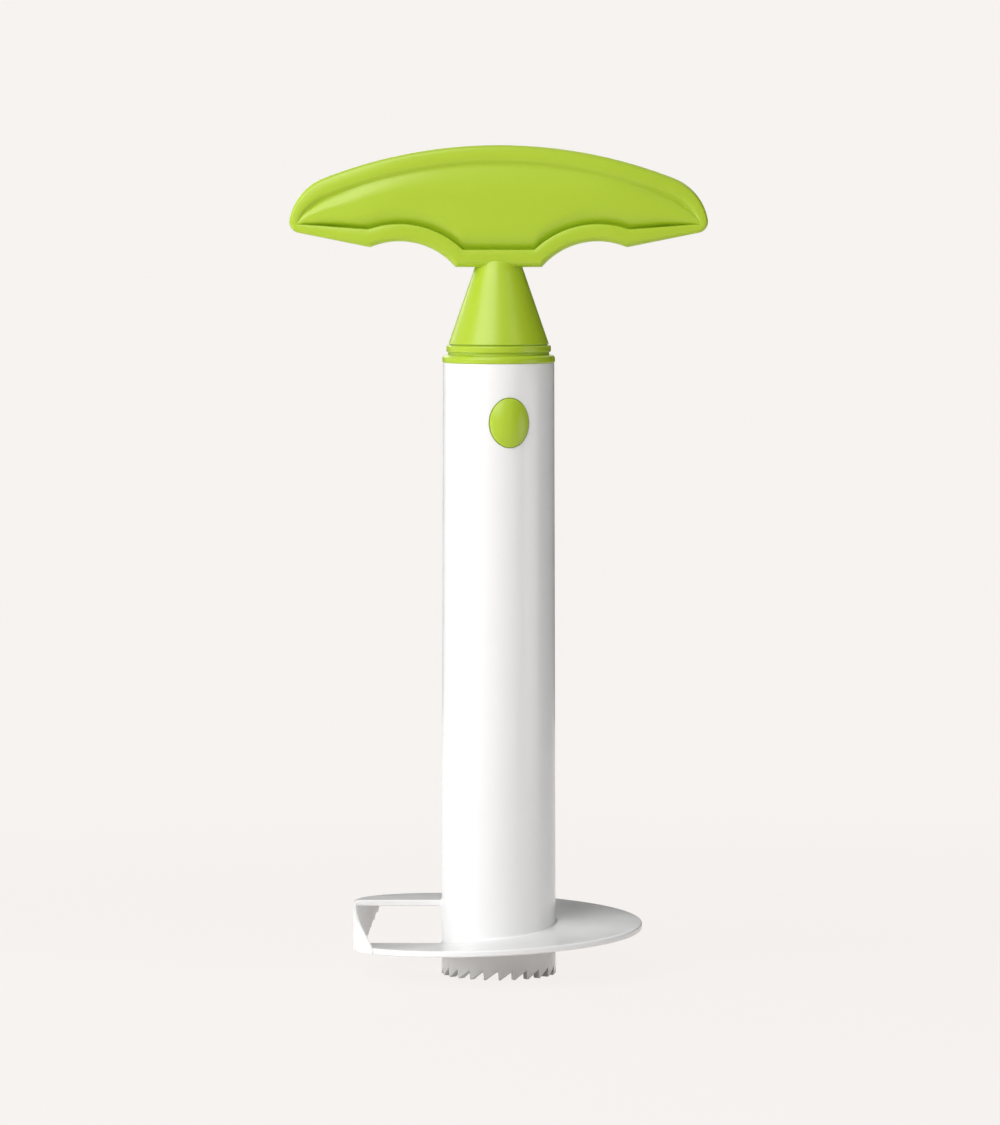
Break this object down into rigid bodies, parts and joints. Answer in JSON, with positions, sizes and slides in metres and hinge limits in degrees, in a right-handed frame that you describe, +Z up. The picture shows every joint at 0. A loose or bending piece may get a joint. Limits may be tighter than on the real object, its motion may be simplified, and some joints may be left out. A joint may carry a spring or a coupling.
{
  "type": "pineapple corer",
  "caption": "Upright pineapple corer: white toothed tube with a spiral blade and side knife, and a green T handle held by two sprung buttons.",
  "frame": {"origin": "on the shaft's axis, at the level of the tooth tips that the corer stands on", "axes": "+Z up the shaft to the handle, X along the grip, -Y towards the front button's side"},
  "size_m": [0.123, 0.085, 0.245],
  "materials": {
    "white_plastic": "glossy moulded plastic",
    "green_plastic": "glossy moulded plastic",
    "spring_steel": "bright drawn wire"
  },
  "bodies": {
    "shaft": {"shaft": "white_plastic"},
    "handle": {"handle": "green_plastic", "latch_spring": "spring_steel"},
    "front_button": {"front_button": "green_plastic"},
    "rear_button": {"rear_button": "green_plastic"}
  },
  "joints": [
    {"name": "handle_lift", "type": "slide", "parent": "shaft", "child": "handle", "axis": [0, 0, 1], "range_m": [0, 0.18]},
    {"name": "front_button_press", "type": "slide", "parent": "handle", "child": "front_button", "axis": [-0.1977, 0.9803, 0], "range_m": [0, 0.0034], "stiffness_N_per_m": 900, "deforming": ["latch_spring"]},
    {"name": "rear_button_press", "type": "slide", "parent": "handle", "child": "rear_button", "axis": [0.1977, -0.9803, 0], "range_m": [0, 0.0034], "stiffness_N_per_m": 900, "deforming": ["latch_spring"]}
  ]
}
